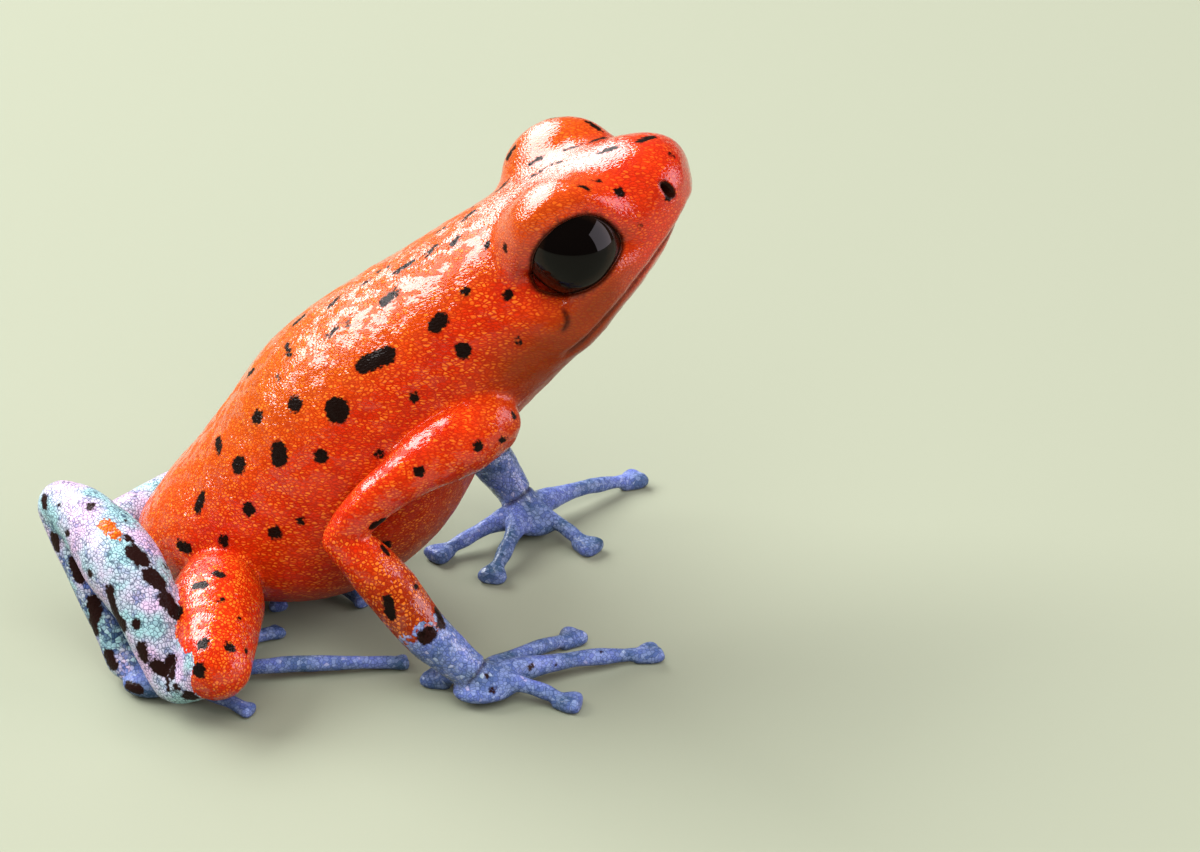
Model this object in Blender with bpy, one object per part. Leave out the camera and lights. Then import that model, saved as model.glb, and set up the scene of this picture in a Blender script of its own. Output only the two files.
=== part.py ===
"""A strawberry poison dart frog, life size, sitting up on its haunches with its head raised.

The frog faces +X, its back is up (+Z) and its left side is +Y. Sizes are in millimetres. The
shapes are made at a thousand times life size, where Blender's tolerances suit them, and are
shrunk to metres at the end. The floor is z = 0.
"""

import math

import bmesh
import bpy
import numpy as np
from mathutils import Matrix, Vector

MM = 0.001

# The clearance that neighbouring pieces keep from each other.
GAP = 0.3

# Trunk and head, as sections from the vent to the tip of the snout. Each row holds the
# section's upper and lower ends in the frog's middle plane (x, z), its half width, how far
# below the middle of its height it is widest, as a share of that height, and how square its
# shoulders are: 2 is an ellipse.
TRUNK_SECTIONS = (
    ((-7.30, 2.95), (-7.00, 2.05), 0.80, 0.00, 2.1),
    ((-7.05, 3.55), (-5.70, 1.25), 2.00, 0.05, 2.1),
    ((-6.20, 4.75), (-3.60, 1.05), 3.00, 0.10, 2.1),
    ((-5.30, 5.90), (-1.90, 1.02), 3.50, 0.12, 2.1),
    ((-4.40, 7.20), (-0.20, 1.40), 3.80, 0.12, 2.1),
    ((-3.20, 9.00), (1.70, 2.60), 3.95, 0.10, 2.1),
    ((-1.90, 10.25), (2.92, 4.10), 3.95, 0.08, 2.1),
    ((-0.40, 11.35), (3.75, 5.75), 3.80, 0.05, 2.1),
    ((1.30, 12.50), (4.70, 7.30), 3.55, 0.05, 2.15),
    ((2.80, 13.60), (5.70, 8.50), 3.35, 0.10, 2.2),
    ((4.10, 14.50), (6.65, 9.65), 3.30, 0.20, 2.2),
    ((5.60, 15.50), (7.60, 10.70), 3.20, 0.28, 2.2),
    ((6.95, 16.25), (8.45, 11.85), 2.75, 0.28, 2.2),
    ((8.20, 16.65), (9.20, 13.00), 2.20, 0.24, 2.3),
    ((9.15, 16.65), (9.70, 13.90), 1.72, 0.16, 2.4),
    ((9.85, 16.25), (10.02, 14.60), 1.20, 0.08, 2.4),
    ((10.18, 15.60), (10.20, 15.10), 0.45, 0.00, 2.1),
)
TRUNK_RINGS = 40
TRUNK_SIDES = 24

# The head is parted from the trunk behind the corners of the jaw.
NECK_AT = (4.45, 0.0, 11.75)
NECK_PITCH = math.radians(34)

# Eyes: a ball in a raised bulge, with a lid above it.
EYE_AT = (6.75, 2.12, 14.02)
EYE_RADIUS = 1.50
EYE_LOOKS = (0.16, 0.94, 0.30)
BULGE_AT = {"right": (6.35, -2.15, 14.62), "left": (5.95, 2.20, 14.80)}
BULGE_RADII = (2.00, 1.45, 1.60)
HEAD_PITCH = math.radians(27)
LID_RADII = (1.78, 1.62)
LID_THICKNESS = 0.24
LID_OUT = 0.70

# The mouth is a groove where the surface of the head meets one slanting plane.
MOUTH_FRONT = (10.2, 14.80)
MOUTH_CORNER = (6.45, 10.45)
MOUTH_WIDTH = 0.16
MOUTH_DEPTH = 0.30

NOSTRIL_AT = (9.58, 1.45, 15.66)
NOSTRIL_OUT = (0.19, 0.08, 0.08)
NOSTRIL_RADIUS = 0.17
NOSTRIL_RIM = 0.34

# Arms. Each limb is a row of places along its middle, and its girths are the radii at those
# places. Digits run from the innermost outwards. The right side is nearer the camera.
ARMS = {
    "right": {
        "upper_arm": (
            (4.15, -3.05, 8.35),
            (3.30, -3.60, 7.95),
            (2.35, -4.10, 7.45),
            (1.45, -4.50, 6.85),
            (0.45, -4.75, 5.95),
            (-0.15, -4.85, 5.05),
        ),
        "forearm": (
            (-0.15, -4.85, 5.00),
            (0.50, -5.00, 4.50),
            (1.20, -5.15, 3.80),
            (1.85, -5.30, 3.00),
            (2.50, -5.45, 2.25),
            (3.35, -5.55, 1.45),
            (3.90, -5.60, 1.05),
        ),
        "palm": (4.35, -5.55, 0.50),
        "tips": ((2.75, -4.70), (6.60, -1.70), (9.10, -2.50), (6.90, -5.85)),
    },
    "left": {
        "upper_arm": (
            (4.15, 3.05, 8.35),
            (3.55, 3.75, 7.95),
            (2.95, 4.45, 7.45),
            (2.30, 5.15, 6.95),
            (1.60, 5.85, 6.40),
            (1.05, 6.45, 5.90),
        ),
        "forearm": (
            (1.05, 6.45, 5.85),
            (1.55, 6.45, 5.15),
            (2.10, 6.45, 4.35),
            (2.65, 6.45, 3.50),
            (3.15, 6.42, 2.65),
            (3.70, 6.35, 1.80),
            (4.05, 6.25, 1.30),
        ),
        "palm": (4.50, 5.95, 0.50),
        "tips": ((1.90, 3.80), (3.75, 2.55), (6.55, 4.75), (7.60, 9.60)),
    },
}
PALM_RADII = (1.15, 0.92, 0.55)

# Legs, folded so that the heel stands behind the rump.
LEGS = {
    "right": {
        "thigh": (
            (-4.30, -2.10, 2.10),
            (-4.25, -3.40, 2.40),
            (-4.10, -4.90, 2.55),
            (-3.88, -6.60, 2.30),
            (-3.70, -7.65, 2.05),
        ),
        "shank": (
            (-4.30, -7.70, 1.60),
            (-5.08, -7.30, 1.15),
            (-5.62, -6.70, 2.12),
            (-6.13, -5.95, 3.16),
            (-7.05, -4.90, 4.00),
            (-8.25, -3.60, 4.70),
            (-9.20, -2.75, 4.80),
        ),
        "tarsus": ((-9.30, -2.75, 4.70), (-8.60, -3.60, 3.40), (-7.70, -4.50, 2.00), (-7.00, -5.20, 0.75)),
        "sole": (-6.00, -5.95, 0.40),
        "tips": ((-6.10, -3.85), (-4.90, -2.75), (-2.72, -2.10), (1.45, -3.75), (-2.95, -7.15)),
    },
    "left": {
        "thigh": (
            (-3.90, 2.10, 2.20),
            (-3.60, 3.40, 2.45),
            (-3.25, 4.70, 2.45),
            (-2.85, 6.00, 2.05),
            (-2.55, 6.90, 1.80),
        ),
        "shank": (
            (-2.75, 6.80, 1.55),
            (-3.20, 6.50, 1.50),
            (-3.90, 5.80, 1.60),
            (-4.75, 4.90, 1.75),
            (-5.80, 3.80, 1.95),
            (-7.10, 2.40, 2.10),
            (-8.10, 1.30, 2.15),
        ),
        "tarsus": ((-8.10, 1.30, 2.15), (-7.20, 2.40, 1.70), (-6.20, 3.60, 1.20), (-5.30, 4.60, 0.75)),
        "sole": (-4.60, 4.50, 0.40),
        "tips": ((-4.60, 2.20), (-3.90, 1.10), (-2.90, -0.20), (-0.30, 0.30), (-1.70, 4.90)),
    },
}
GIRTHS = {
    "upper_arm": (1.10, 1.12, 0.94, 0.76, 0.66, 0.62),
    "forearm": (0.62, 0.76, 0.86, 0.82, 0.76, 0.66, 0.58),
    "thigh": (1.10, 1.28, 1.50, 1.30, 1.12),
    "shank": (0.72, 0.64, 0.84, 1.05, 1.22, 0.98, 0.78),
    "tarsus": (0.70, 0.60, 0.56, 0.56),
}
SOLE_RADII = (0.95, 0.72, 0.45)

# Fingers and toes: a thin shaft that ends in a round disc.
DIGIT_RADIUS = 0.27
DISC_RADII = (0.43, 0.40, 0.30)
TOE_DISC_RADII = (0.34, 0.31, 0.27)
ROOT_LIFT = 0.30
ARCH = 0.12
TIP_HEIGHT = 0.22
FLOOR_DEPTH = 3.0

LIMB_SIDES = 12
DIGIT_SIDES = 6

# What each kind of sub-part looks like: its colour and its roughness.
LOOKS = {
    "orange_red_skin": ((0.78, 0.060, 0.008, 1.0), 0.30),
    "blue_grey_skin": ((0.17, 0.24, 0.36, 1.0), 0.35),
    "black_eye": ((0.006, 0.004, 0.004, 1.0), 0.05),
}
BLUE_PARTS = ("hand", "shank", "tarsus", "foot")


def spline(knots, count):
    """Count points along a smooth curve through the knots, by Catmull and Rom's rule."""
    knots = np.array(knots, float)
    if knots.ndim == 1:
        knots = knots[:, None]
    ends = 2 * knots[0] - knots[1], 2 * knots[-1] - knots[-2]
    padded = np.vstack([ends[0], knots, ends[1]])
    found = []
    for t in np.linspace(0, len(knots) - 1, count):
        i = min(int(t), len(knots) - 2)
        u = t - i
        a, b, c, d = padded[i : i + 4]
        found.append(
            b + 0.5 * u * (c - a + u * (2 * a - 5 * b + 4 * c - d + u * (3 * (b - c) + d - a)))
        )
    return np.array(found)


def mesh_object(name, mesh):
    obj = bpy.data.objects.new(name, mesh)
    bpy.context.scene.collection.objects.link(obj)
    return obj


def from_bmesh(name, bm):
    bmesh.ops.recalc_face_normals(bm, faces=bm.faces)
    mesh = bpy.data.meshes.new(name)
    bm.to_mesh(mesh)
    bm.free()
    return mesh_object(name, mesh)


def loft(name, rings):
    """A closed skin through the rings, each with the same number of points."""
    bm = bmesh.new()
    rows = [[bm.verts.new(p) for p in ring] for ring in rings]
    sides = len(rows[0])
    for low, high in zip(rows, rows[1:]):
        for i in range(sides):
            j = (i + 1) % sides
            bm.faces.new((low[i], low[j], high[j], high[i]))
    caps = [bm.faces.new(rows[0]), bm.faces.new(rows[-1])]
    bmesh.ops.triangulate(bm, faces=caps)
    return from_bmesh(name, bm)


def trunk(name, swell=0.0):
    """Trunk and head in one piece, swollen or shrunk by swell all over."""
    rows = [[*top, *low, *rest] for top, low, *rest in TRUNK_SECTIONS]
    rings = []
    for top_x, top_z, low_x, low_z, width, drop, squareness in spline(rows, TRUNK_RINGS):
        middle = Vector(((top_x + low_x) / 2, 0, (top_z + low_z) / 2))
        upward = Vector(((top_x - low_x) / 2, 0, (top_z - low_z) / 2))
        upward += upward.normalized() * swell
        sideways = Vector((0, max(width + swell, 0.1), 0))
        ring = []
        for i in range(TRUNK_SIDES):
            turn = 2 * math.pi * i / TRUNK_SIDES
            power = 2 / squareness
            side = math.copysign(abs(math.sin(turn)) ** power, math.sin(turn))
            rise = math.copysign(abs(math.cos(turn)) ** power, math.cos(turn))
            rise -= drop * (1 - rise * rise)
            ring.append(middle + sideways * side + upward * rise)
        rings.append(ring)
    return loft(name, rings)


def ball(name, middle, radii, pitch=0.0, turn=0.0, segments=14, rings=8):
    """A ball squeezed to three radii, then pitched nose-up and turned about the vertical."""
    bpy.ops.mesh.primitive_uv_sphere_add(segments=segments, ring_count=rings)
    obj = bpy.context.object
    obj.name = name
    turned = Matrix.Rotation(turn, 4, "Z") @ Matrix.Rotation(-pitch, 4, "Y")
    obj.data.transform(Matrix.Translation(middle) @ turned @ Matrix.Diagonal((*radii, 1)))
    return obj


def as_mesh(obj):
    """A new mesh object of what the viewport shows of a curve or a modified mesh."""
    name = obj.name
    shown = obj.evaluated_get(bpy.context.evaluated_depsgraph_get())
    mesh = bpy.data.meshes.new_from_object(shown)
    bm = bmesh.new()
    bm.from_mesh(mesh)
    bmesh.ops.remove_doubles(bm, verts=bm.verts, dist=0.0005)
    bmesh.ops.recalc_face_normals(bm, faces=bm.faces)
    bm.to_mesh(mesh)
    bm.free()
    made = mesh_object(name, mesh)
    made.matrix_world = obj.matrix_world
    bpy.data.objects.remove(obj)
    made.name = name
    return made


def tube(name, route, girths, swell=0.0, sides=LIMB_SIDES, steps=10):
    """A round-ended tube along a smooth route. Its ends are domes round the first and last
    points."""
    points = [Vector(p) for p in spline(route, steps)]
    radii = [r[0] + swell for r in spline(girths, steps)]
    out_at_start = (points[0] - points[1]).normalized()
    out_at_end = (points[-1] - points[-2]).normalized()
    dome = [math.radians(angle) for angle in ((72, 48, 24) if sides > 8 else (66, 33))]
    line = [(points[0] + out_at_start * radii[0] * math.sin(a), radii[0] * math.cos(a)) for a in dome]
    line += list(zip(points, radii))
    line += [
        (points[-1] + out_at_end * radii[-1] * math.sin(a), radii[-1] * math.cos(a))
        for a in reversed(dome)
    ]
    curve = bpy.data.curves.new(name, "CURVE")
    curve.dimensions = "3D"
    curve.bevel_depth = 1.0
    curve.bevel_resolution = (sides - 4) // 2
    curve.use_fill_caps = True
    path = curve.splines.new("POLY")
    path.points.add(len(line) - 1)
    for point, (place, radius) in zip(path.points, line):
        point.co = (*place, 1)
        point.radius = radius
    return as_mesh(mesh_object(name, curve))


def block(name, middle, size, pitch=0.0):
    """A box, pitched nose-up about its middle."""
    bpy.ops.mesh.primitive_cube_add(size=1)
    obj = bpy.context.object
    obj.name = name
    pitched = Matrix.Rotation(-pitch, 4, "Y")
    obj.data.transform(Matrix.Translation(middle) @ pitched @ Matrix.Diagonal((*size, 1)))
    return obj


def move_to(collection, obj):
    for former in list(obj.users_collection):
        former.objects.unlink(obj)
    collection.objects.link(obj)


def combine(obj, others, operation):
    """Joins the others to obj, or cuts them from it, with one Boolean, and removes them."""
    tools = bpy.data.collections.new("tools")
    bpy.context.scene.collection.children.link(tools)
    for other in others:
        move_to(tools, other)
    boolean = obj.modifiers.new("combine", "BOOLEAN")
    boolean.operand_type = "COLLECTION"
    boolean.collection = tools
    boolean.operation = operation
    boolean.solver = "EXACT"
    made = as_mesh(obj)
    for other in list(tools.objects):
        bpy.data.objects.remove(other)
    bpy.data.collections.remove(tools)
    return made


def islands(bm):
    """The mesh's separate surfaces, as lists of faces."""
    left = set(bm.faces)
    found = []
    while left:
        grown = [left.pop()]
        for face in grown:
            for edge in face.edges:
                for other in edge.link_faces:
                    if other in left:
                        left.remove(other)
                        grown.append(other)
        found.append(grown)
    return found


def keep_island(obj, wanted):
    """Keeps only the surface that wanted picks, by the largest value it gives."""
    bm = bmesh.new()
    bm.from_mesh(obj.data)
    found = islands(bm)
    best = max(found, key=wanted)
    spare = [face for island in found if island is not best for face in island]
    bmesh.ops.delete(bm, geom=spare, context="FACES")
    bm.to_mesh(obj.data)
    bm.free()
    return obj


def fuse(name, pieces):
    """One closed body made of overlapping pieces."""
    first, *others = pieces
    made = combine(first, others, "UNION")
    made.name = name
    return keep_island(made, len)


def floor_block():
    return block("floor", (0, 0, -FLOOR_DEPTH / 2), (60, 60, FLOOR_DEPTH))


def mirrored(place, side):
    """A place given for the left side, on the side asked for."""
    x, y, z = place
    return (x, y if side == "left" else -y, z)


def eye_ball(side, swell=0.0, segments=18):
    radius = EYE_RADIUS + swell
    return ball(
        f"eye_{side}", mirrored(EYE_AT, side), (radius,) * 3, segments=segments, rings=segments * 2 // 3
    )


def lid(side):
    """The ring of skin round the eye, longer along the head than across it."""
    looks = Vector(mirrored(EYE_LOOKS, side)).normalized()
    along = Vector((math.cos(HEAD_PITCH), 0, math.sin(HEAD_PITCH)))
    along = (along - looks * along.dot(looks)).normalized()
    facing = Matrix((along, looks.cross(along), looks)).transposed().to_4x4()
    bpy.ops.mesh.primitive_torus_add(
        major_radius=1.0, minor_radius=LID_THICKNESS / LID_RADII[0], major_segments=22, minor_segments=6
    )
    obj = bpy.context.object
    middle = Vector(mirrored(EYE_AT, side)) + looks * LID_OUT
    stretch = Matrix.Diagonal((*LID_RADII, LID_RADII[0], 1))
    obj.data.transform(Matrix.Translation(middle) @ facing @ stretch)
    return obj


def mouth_cutter():
    """A thin plate in the plane of the mouth, hollowed so that it only scores the skin."""
    front, corner = Vector(MOUTH_FRONT), Vector(MOUTH_CORNER)
    along = front - corner
    pitch = math.atan2(along.y, along.x)
    reach = along.length + 2
    middle = corner + along.normalized() * reach / 2
    plate = block("mouth", (middle.x, 0, middle.y), (reach, 12, MOUTH_WIDTH), pitch)
    return combine(plate, [trunk("core", -MOUTH_DEPTH)], "DIFFERENCE")


def head_and_torso():
    """The head and the trunk, parted by a thin cut at the neck, with the face's features."""
    sides = ("right", "left")
    pieces = [trunk("body")]
    for side in sides:
        pieces.append(
            ball("bulge", BULGE_AT[side], BULGE_RADII, HEAD_PITCH, segments=16, rings=10)
        )
        pieces.append(lid(side))
        pieces.append(ball("nostril", mirrored(NOSTRIL_AT, side), (NOSTRIL_RIM,) * 3, segments=8, rings=6))
    body = fuse("body", pieces)
    cutters = [eye_ball(side, GAP, segments=21) for side in sides]
    for side in sides:
        pit = Vector(mirrored(NOSTRIL_AT, side)) + Vector(mirrored(NOSTRIL_OUT, side))
        cutters.append(ball("pit", pit, (NOSTRIL_RADIUS,) * 3, segments=8, rings=6))
    cutters.append(mouth_cutter())
    cutters.append(block("neck", NECK_AT, (GAP, 14, 14), NECK_PITCH))
    body = combine(body, cutters, "DIFFERENCE")
    head = mesh_object("head", body.data.copy())
    torso = mesh_object("torso", body.data.copy())
    bpy.data.objects.remove(body)

    def forward(faces):
        return len(faces) if sum(f.calc_center_median().x for f in faces) / len(faces) > 5 else -1

    def rearward(faces):
        return len(faces) if sum(f.calc_center_median().x for f in faces) / len(faces) < 5 else -1

    return keep_island(head, forward), keep_island(torso, rearward)


def limb(name, side, swell=0.0):
    route = {**ARMS[side], **LEGS[side]}[name]
    return tube(f"{name}_{side}", route, GIRTHS[name], swell)


def digit(name, root, tip, disc_radii, swell=0.0):
    """One finger or toe, from its root down to a disc that rests on the floor."""
    root, end = Vector(root), Vector((*tip, TIP_HEIGHT))
    middle, shaft_end = root.lerp(end, 0.5), root.lerp(end, 0.95)
    middle.z += ARCH
    shaft_end.z += 0.04
    radius = DIGIT_RADIUS
    shaft = tube(
        name, (root, middle, shaft_end), (radius * 1.2, radius, radius), swell, DIGIT_SIDES, steps=6
    )
    heading = math.atan2(end.y - root.y, end.x - root.x)
    radii = [r + swell for r in disc_radii]
    disc = ball("disc", end, radii, turn=heading, segments=10, rings=5)
    return [shaft, disc]


def hand(side, swell=0.0):
    arm = ARMS[side]
    palm, wrist = Vector(arm["palm"]), Vector(arm["forearm"][-1])
    heading = math.atan2(arm["tips"][2][1] - palm.y, arm["tips"][2][0] - palm.x)
    radii = [r + swell for r in PALM_RADII]
    pieces = [ball(f"hand_{side}", palm, radii, turn=heading)]
    root = wrist.lerp(palm, 0.8)
    root.z = palm.z + ROOT_LIFT
    for tip in arm["tips"]:
        pieces += digit("finger", root, tip, DISC_RADII, swell)
    heel = wrist.lerp(palm, 0.45)
    pieces.append(tube("palm_heel", (heel, heel.lerp(palm, 0.5), palm), (0.60, 0.56, 0.48), swell, steps=4))
    return combine(fuse(f"hand_{side}", pieces), [floor_block()], "DIFFERENCE")


def foot(side, swell=0.0):
    leg = LEGS[side]
    sole = Vector(leg["sole"])
    heading = math.atan2(leg["tips"][3][1] - sole.y, leg["tips"][3][0] - sole.x)
    radii = [r + swell for r in SOLE_RADII]
    pieces = [ball(f"foot_{side}", sole, radii, turn=heading)]
    for tip in leg["tips"]:
        pieces += digit("toe", sole + Vector((0, 0, 0.1)), tip, TOE_DISC_RADII, swell)
    return combine(fuse(f"foot_{side}", pieces), [floor_block()], "DIFFERENCE")


def cleared(obj, *neighbours):
    """Obj with room cut in it for its neighbours, each given already swollen by the gap."""
    made = combine(obj, list(neighbours), "DIFFERENCE")
    return keep_island(made, len)


def finish(obj, look):
    """Gives obj a plain glossy finish of its own, smooth but for its cut edges."""
    colour, roughness = LOOKS[look]
    material = bpy.data.materials.new(f"{look}_{obj.name}")
    material.use_nodes = True
    shader = material.node_tree.nodes["Principled BSDF"]
    shader.inputs["Base Color"].default_value = colour
    shader.inputs["Roughness"].default_value = roughness
    shader.inputs["Metallic"].default_value = 0.0
    obj.data.materials.clear()
    obj.data.materials.append(material)
    obj.data.shade_smooth()
    obj.data.set_sharp_from_angle(angle=math.radians(45))


def settle(parts, frog):
    """Shrinks the parts to life size, with the middle of their box over the origin, and places
    each by its own location under the frog's empty."""
    corners = np.array([v.co for obj in parts for v in obj.data.vertices])
    low, high = corners.min(0), corners.max(0)
    middle = (low + high) / 2
    print("the box's middle before it is settled:", np.round(middle, 4))
    shift = Matrix.Translation((-middle[0], -middle[1], 0))
    for obj in parts:
        obj.data.transform(Matrix.Scale(MM, 4) @ shift)
        own = np.array([v.co for v in obj.data.vertices])
        place = Vector((own.min(0) + own.max(0)) / 2)
        obj.data.transform(Matrix.Translation(-place))
        obj.location = place
        obj.parent = frog


def make_frog():
    for obj in list(bpy.data.objects):
        bpy.data.objects.remove(obj)
    head, torso = head_and_torso()
    parts = []
    for side in ("right", "left"):
        parts.append(eye_ball(side))
        shoulder = limb("upper_arm", side, GAP)
        torso = cleared(torso, shoulder, limb("thigh", side, GAP), limb("shank", side, GAP))
        head = cleared(head, limb("upper_arm", side, GAP))
        parts.append(cleared(limb("upper_arm", side), limb("forearm", side, GAP)))
        parts.append(cleared(limb("forearm", side), hand(side, GAP)))
        parts.append(hand(side))
        parts.append(cleared(limb("thigh", side), limb("shank", side, GAP), foot(side, GAP)))
        parts.append(cleared(limb("shank", side), limb("tarsus", side, GAP), foot(side, GAP)))
        parts.append(cleared(limb("tarsus", side), foot(side, GAP)))
        parts.append(foot(side))
    parts += [head, torso]
    frog = bpy.data.objects.new("poison_dart_frog", None)
    bpy.context.scene.collection.objects.link(frog)
    for obj in parts:
        blue = obj.name.startswith(BLUE_PARTS)
        look = "black_eye" if obj.name.startswith("eye") else "blue_grey_skin" if blue else "orange_red_skin"
        finish(obj, look)
    settle(parts, frog)


make_frog()
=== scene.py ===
# %% [markdown]
# # A strawberry poison dart frog, life size
#
# The animal is a little over 2 cm long: a glossy orange-red body with black spots, blue-grey
# hands and legs, and a black eye that shines like a bead. This file dresses a imported model of
# it, whose solids are parted at the joints, with one unbroken skin.

# %% Load the imported model
import math
import random
from functools import partial

import bmesh
import bpy
import numpy as np
from mathutils import Matrix, Vector, noise
from mathutils.bvhtree import BVHTree


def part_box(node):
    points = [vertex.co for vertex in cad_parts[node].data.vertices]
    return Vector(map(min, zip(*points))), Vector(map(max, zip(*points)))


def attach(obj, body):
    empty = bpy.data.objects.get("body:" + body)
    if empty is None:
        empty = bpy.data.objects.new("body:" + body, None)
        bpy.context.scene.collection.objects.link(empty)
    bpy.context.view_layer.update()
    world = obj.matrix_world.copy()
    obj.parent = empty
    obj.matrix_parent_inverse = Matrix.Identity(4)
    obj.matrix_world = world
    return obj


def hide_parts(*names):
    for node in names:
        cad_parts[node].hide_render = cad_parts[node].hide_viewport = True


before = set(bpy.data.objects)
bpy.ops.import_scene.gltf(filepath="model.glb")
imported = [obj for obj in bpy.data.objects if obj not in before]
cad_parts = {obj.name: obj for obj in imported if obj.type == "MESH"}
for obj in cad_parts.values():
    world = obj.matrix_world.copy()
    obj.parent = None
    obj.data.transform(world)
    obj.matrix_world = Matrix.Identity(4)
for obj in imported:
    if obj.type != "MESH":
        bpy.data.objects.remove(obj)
bpy.context.scene.view_settings.view_transform = "Standard"
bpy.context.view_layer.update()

# %% [markdown]
# ## Where things are
#
# The frog was measured from its own middle plane, in millimetres: +X the way it faces, +Y its
# left, +Z up from the floor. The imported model's origin is under the middle of its box instead,
# and the limbs are not alike on both sides, so the two differ by a small shift. The eyes are
# alike on both sides, so their boxes tell the shift.

# %% The frog's own place in the frame
MM = 0.001
EYE_AT = Vector((6.75, 2.12, 14.02))
SIDES = ("right", "left")


def eye_middle(side):
    low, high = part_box(f"eye_{side}")
    return (Vector(low) + Vector(high)) / 2 / MM


MIDDLE = (eye_middle("right") + eye_middle("left")) / 2 - Vector((EYE_AT.x, 0, EYE_AT.z))
EYE_RADIUS = (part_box("eye_right")[1][2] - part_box("eye_right")[0][2]) / 2 / MM
TO_FRAME = Matrix.Scale(MM, 4) @ Matrix.Translation((MIDDLE.x, MIDDLE.y, 0))
print("the middle plane's shift in mm:", tuple(round(v, 3) for v in MIDDLE), "eye radius", EYE_RADIUS)


def mirrored(place, side):
    """A place given for the left side, on the side asked for."""
    x, y, z = place
    return Vector((x, y if side == "left" else -y, z))


# %% [markdown]
# ## The sizes of the body
#
# These are the sizes that the solids were made from: the trunk and head as sections from the
# vent to the tip of the snout, and the limbs as joints with girths. The skin is made from the
# same numbers, with many more faces, so it lies where the solids do.

# %% Trunk and head
# Upper end (x, z), lower end (x, z), half width, how far below the middle it is widest, squareness
TRUNK_SECTIONS = (
    ((-7.30, 2.95), (-7.00, 2.05), 0.80, 0.00, 2.1),
    ((-7.05, 3.55), (-5.70, 1.25), 2.00, 0.05, 2.1),
    ((-6.20, 4.75), (-3.60, 1.05), 3.00, 0.10, 2.1),
    ((-5.30, 5.90), (-1.90, 1.02), 3.50, 0.12, 2.1),
    ((-4.40, 7.20), (-0.20, 1.40), 3.80, 0.12, 2.1),
    ((-3.20, 9.00), (1.70, 2.60), 3.95, 0.10, 2.1),
    ((-1.90, 10.25), (2.92, 4.10), 3.95, 0.08, 2.1),
    ((-0.40, 11.35), (3.75, 5.75), 3.80, 0.05, 2.1),
    ((1.30, 12.50), (4.70, 7.30), 3.55, 0.05, 2.15),
    ((2.80, 13.60), (5.70, 8.50), 3.35, 0.10, 2.2),
    ((4.10, 14.50), (6.65, 9.65), 3.30, 0.20, 2.2),
    ((5.60, 15.50), (7.60, 10.70), 3.20, 0.28, 2.2),
    ((6.95, 16.25), (8.45, 11.85), 2.75, 0.28, 2.2),
    ((8.20, 16.65), (9.20, 13.00), 2.20, 0.24, 2.3),
    ((9.15, 16.65), (9.70, 13.90), 1.72, 0.16, 2.4),
    ((9.85, 16.25), (10.02, 14.60), 1.20, 0.08, 2.4),
    ((10.18, 15.60), (10.20, 15.10), 0.45, 0.00, 2.1),
)
HEAD_PITCH = math.radians(27)
# The bulges that the eyes sit in. The photographed head is turned a little, so the near one is
# further forward and the far one further back.
BULGE_AT = {"right": Vector((6.35, -2.15, 14.62)), "left": Vector((5.95, 2.20, 14.80))}
BULGE_RADII = (2.00, 1.45, 1.60)

# %% Arms
# Each limb is a row of places along its middle, and its girths are the radii at those places.
# The right side is the one nearer the camera. Digits run from the innermost outwards.
ARMS = {
    "right": {
        "upper_arm": (
            (4.15, -3.05, 8.35), (3.30, -3.60, 7.95), (2.35, -4.10, 7.45),
            (1.45, -4.50, 6.85), (0.45, -4.75, 5.95), (-0.15, -4.85, 5.05),
        ),
        "forearm": (
            (-0.15, -4.85, 5.00), (0.50, -5.00, 4.50), (1.20, -5.15, 3.80), (1.85, -5.30, 3.00),
            (2.50, -5.45, 2.25), (3.35, -5.55, 1.45), (3.90, -5.60, 1.05),
        ),
        "palm": (4.35, -5.55, 0.50),
        "tips": ((2.75, -4.70), (6.60, -1.70), (9.10, -2.50), (6.90, -5.85)),
    },
    "left": {
        "upper_arm": (
            (4.15, 3.05, 8.35), (3.55, 3.75, 7.95), (2.95, 4.45, 7.45),
            (2.30, 5.15, 6.95), (1.60, 5.85, 6.40), (1.05, 6.45, 5.90),
        ),
        "forearm": (
            (1.05, 6.45, 5.85), (1.55, 6.45, 5.15), (2.10, 6.45, 4.35), (2.65, 6.45, 3.50),
            (3.15, 6.42, 2.65), (3.70, 6.35, 1.80), (4.05, 6.25, 1.30),
        ),
        "palm": (4.50, 5.95, 0.50),
        "tips": ((1.90, 3.80), (3.75, 2.55), (6.55, 4.75), (7.60, 9.60)),
    },
}

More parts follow.
